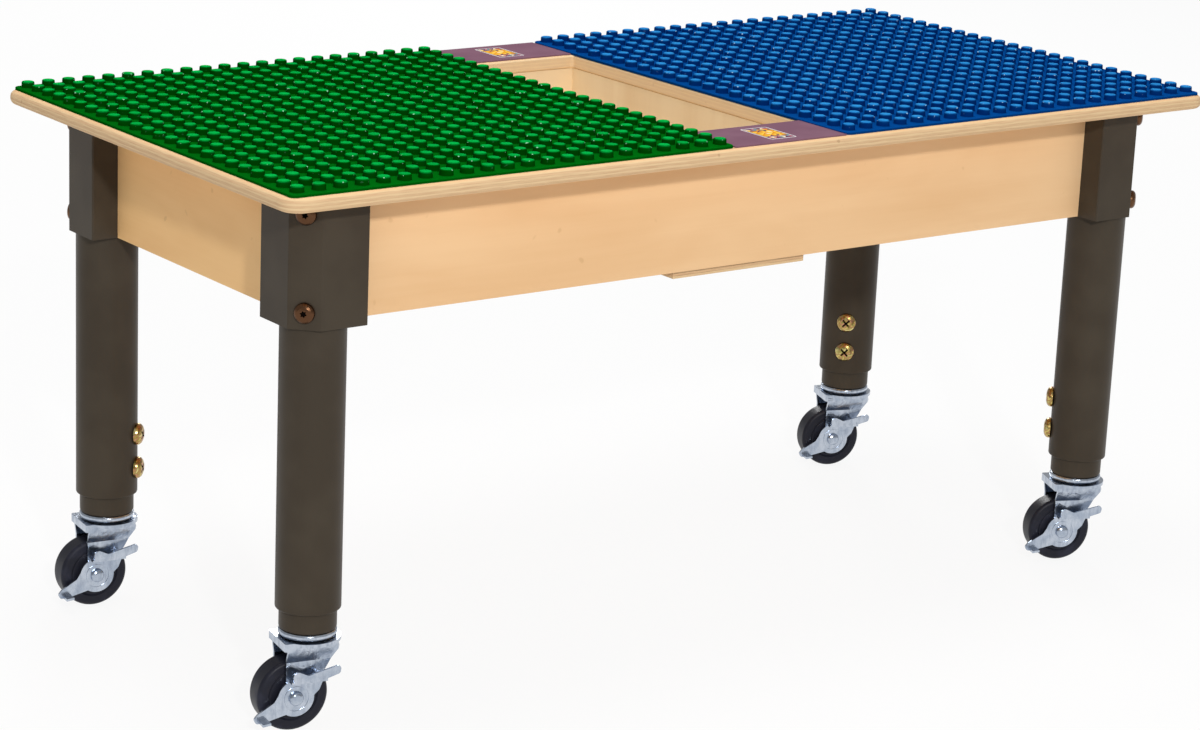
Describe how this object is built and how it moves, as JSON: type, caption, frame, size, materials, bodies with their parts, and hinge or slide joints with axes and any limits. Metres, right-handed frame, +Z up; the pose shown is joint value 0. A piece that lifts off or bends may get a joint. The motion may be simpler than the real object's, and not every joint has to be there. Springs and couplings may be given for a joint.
{
  "type": "building block play table",
  "caption": "Children's play table with studded building plates, a block bin in the middle and height-adjustable legs on swivel casters with brakes.",
  "frame": {"origin": "on the floor, under the middle of the tabletop", "axes": "+X along the table's long side, +Y to its back, +Z up"},
  "size_m": [0.8128, 0.3938, 0.3837],
  "materials": {
    "plywood_top": "clear satin lacquer",
    "plywood": "clear satin lacquer",
    "pine_block": "planed, unfinished",
    "green_plastic": "moulded, glossy",
    "blue_plastic": "moulded, glossy",
    "purple_print": "satin film",
    "bronze_powder": "dark bronze powder coat, semi-gloss",
    "bronze_screw": "dark bronze",
    "yellow_zinc": "yellow zinc plating",
    "zinc": "bright zinc plating",
    "black_wheel": "satin black",
    "black_plastic": "moulded"
  },
  "bodies": {
    "table": {"tabletop": "plywood_top", "plate_green": "green_plastic", "plate_blue": "blue_plastic", "strip_front": "purple_print", "strip_back": "purple_print", "apron_front": "plywood", "apron_back": "plywood", "apron_left": "plywood", "apron_right": "plywood", "bin_floor": "plywood", "bin_wall_left": "plywood", "bin_wall_right": "plywood", "bin_screws": "yellow_zinc", "corner_screws": "bronze_screw", "height_screws": "yellow_zinc", "corner_bracket_front_left": "bronze_powder", "corner_block_front_left": "pine_block", "outer_tube_front_left": "bronze_powder", "corner_bracket_back_left": "bronze_powder", "corner_block_back_left": "pine_block", "outer_tube_back_left": "bronze_powder", "corner_bracket_front_right": "bronze_powder", "corner_block_front_right": "pine_block", "outer_tube_front_right": "bronze_powder", "corner_bracket_back_right": "bronze_powder", "corner_block_back_right": "pine_block", "outer_tube_back_right": "bronze_powder"},
    "sliding_leg_front_left": {"inner_tube_front_left": "bronze_powder", "stem_socket_front_left": "black_plastic", "caster_stem_front_left": "zinc"},
    "caster_front_left": {"swivel_washer_front_left": "zinc", "fork_front_left": "zinc", "axle_front_left": "zinc"},
    "wheel_front_left": {"wheel_front_left": "black_wheel"},
    "lever_front_left": {"brake_lever_front_left": "zinc"},
    "sliding_leg_back_left": {"inner_tube_back_left": "bronze_powder", "stem_socket_back_left": "black_plastic", "caster_stem_back_left": "zinc"},
    "caster_back_left": {"swivel_washer_back_left": "zinc", "fork_back_left": "zinc", "axle_back_left": "zinc"},
    "wheel_back_left": {"wheel_back_left": "black_wheel"},
    "lever_back_left": {"brake_lever_back_left": "zinc"},
    "sliding_leg_front_right": {"inner_tube_front_right": "bronze_powder", "stem_socket_front_right": "black_plastic", "caster_stem_front_right": "zinc"},
    "caster_front_right": {"swivel_washer_front_right": "zinc", "fork_front_right": "zinc", "axle_front_right": "zinc"},
    "wheel_front_right": {"wheel_front_right": "black_wheel"},
    "lever_front_right": {"brake_lever_front_right": "zinc"},
    "sliding_leg_back_right": {"inner_tube_back_right": "bronze_powder", "stem_socket_back_right": "black_plastic", "caster_stem_back_right": "zinc"},
    "caster_back_right": {"swivel_washer_back_right": "zinc", "fork_back_right": "zinc", "axle_back_right": "zinc"},
    "wheel_back_right": {"wheel_back_right": "black_wheel"},
    "lever_back_right": {"brake_lever_back_right": "zinc"}
  },
  "joints": [
    {"name": "leg_height_front_left", "type": "slide", "parent": "table", "child": "sliding_leg_front_left", "axis": [0, 0, -1], "range_m": [0, 0.1]},
    {"name": "caster_swivel_front_left", "type": "hinge", "parent": "sliding_leg_front_left", "child": "caster_front_left", "pos_m": [-0.35325, -0.1411, 0.062], "axis": [0, 0, 1], "continuous": true},
    {"name": "wheel_spin_front_left", "type": "hinge", "parent": "caster_front_left", "child": "wheel_front_left", "pos_m": [-0.36586, -0.13888, 0.025], "axis": [-0.1736, -0.9848, 0], "continuous": true},
    {"name": "brake_front_left", "type": "hinge", "parent": "caster_front_left", "child": "lever_front_left", "pos_m": [-0.36586, -0.13888, 0.025], "axis": [0.1736, 0.9848, 0], "range_deg": [0, 20]},
    {"name": "leg_height_back_left", "type": "slide", "parent": "table", "child": "sliding_leg_back_left", "axis": [0, 0, -1], "range_m": [0, 0.1]},
    {"name": "caster_swivel_back_left", "type": "hinge", "parent": "sliding_leg_back_left", "child": "caster_back_left", "pos_m": [-0.35325, 0.1411, 0.062], "axis": [0, 0, 1], "continuous": true},
    {"name": "wheel_spin_back_left", "type": "hinge", "parent": "caster_back_left", "child": "wheel_back_left", "pos_m": [-0.36595, 0.14266, 0.025], "axis": [-0.1219, -0.9925, 0], "continuous": true},
    {"name": "brake_back_left", "type": "hinge", "parent": "caster_back_left", "child": "lever_back_left", "pos_m": [-0.36595, 0.14266, 0.025], "axis": [0.1219, 0.9925, 0], "range_deg": [0, 20]},
    {"name": "leg_height_front_right", "type": "slide", "parent": "table", "child": "sliding_leg_front_right", "axis": [0, 0, -1], "range_m": [0, 0.1]},
    {"name": "caster_swivel_front_right", "type": "hinge", "parent": "sliding_leg_front_right", "child": "caster_front_right", "pos_m": [0.35325, -0.1411, 0.062], "axis": [0, 0, 1], "continuous": true},
    {"name": "wheel_spin_front_right", "type": "hinge", "parent": "caster_front_right", "child": "wheel_front_right", "pos_m": [0.34147, -0.1361, 0.025], "axis": [-0.3907, -0.9205, 0], "continuous": true},
    {"name": "brake_front_right", "type": "hinge", "parent": "caster_front_right", "child": "lever_front_right", "pos_m": [0.34147, -0.1361, 0.025], "axis": [0.3907, 0.9205, 0], "range_deg": [0, 20]},
    {"name": "leg_height_back_right", "type": "slide", "parent": "table", "child": "sliding_leg_back_right", "axis": [0, 0, -1], "range_m": [0, 0.1]},
    {"name": "caster_swivel_back_right", "type": "hinge", "parent": "sliding_leg_back_right", "child": "caster_back_right", "pos_m": [0.35325, 0.1411, 0.062], "axis": [0, 0, 1], "continuous": true},
    {"name": "wheel_spin_back_right", "type": "hinge", "parent": "caster_back_right", "child": "wheel_back_right", "pos_m": [0.34122, 0.14548, 0.025], "axis": [-0.342, -0.9397, 0], "continuous": true},
    {"name": "brake_back_right", "type": "hinge", "parent": "caster_back_right", "child": "lever_back_right", "pos_m": [0.34122, 0.14548, 0.025], "axis": [0.342, 0.9397, 0], "range_deg": [0, 20]}
  ]
}
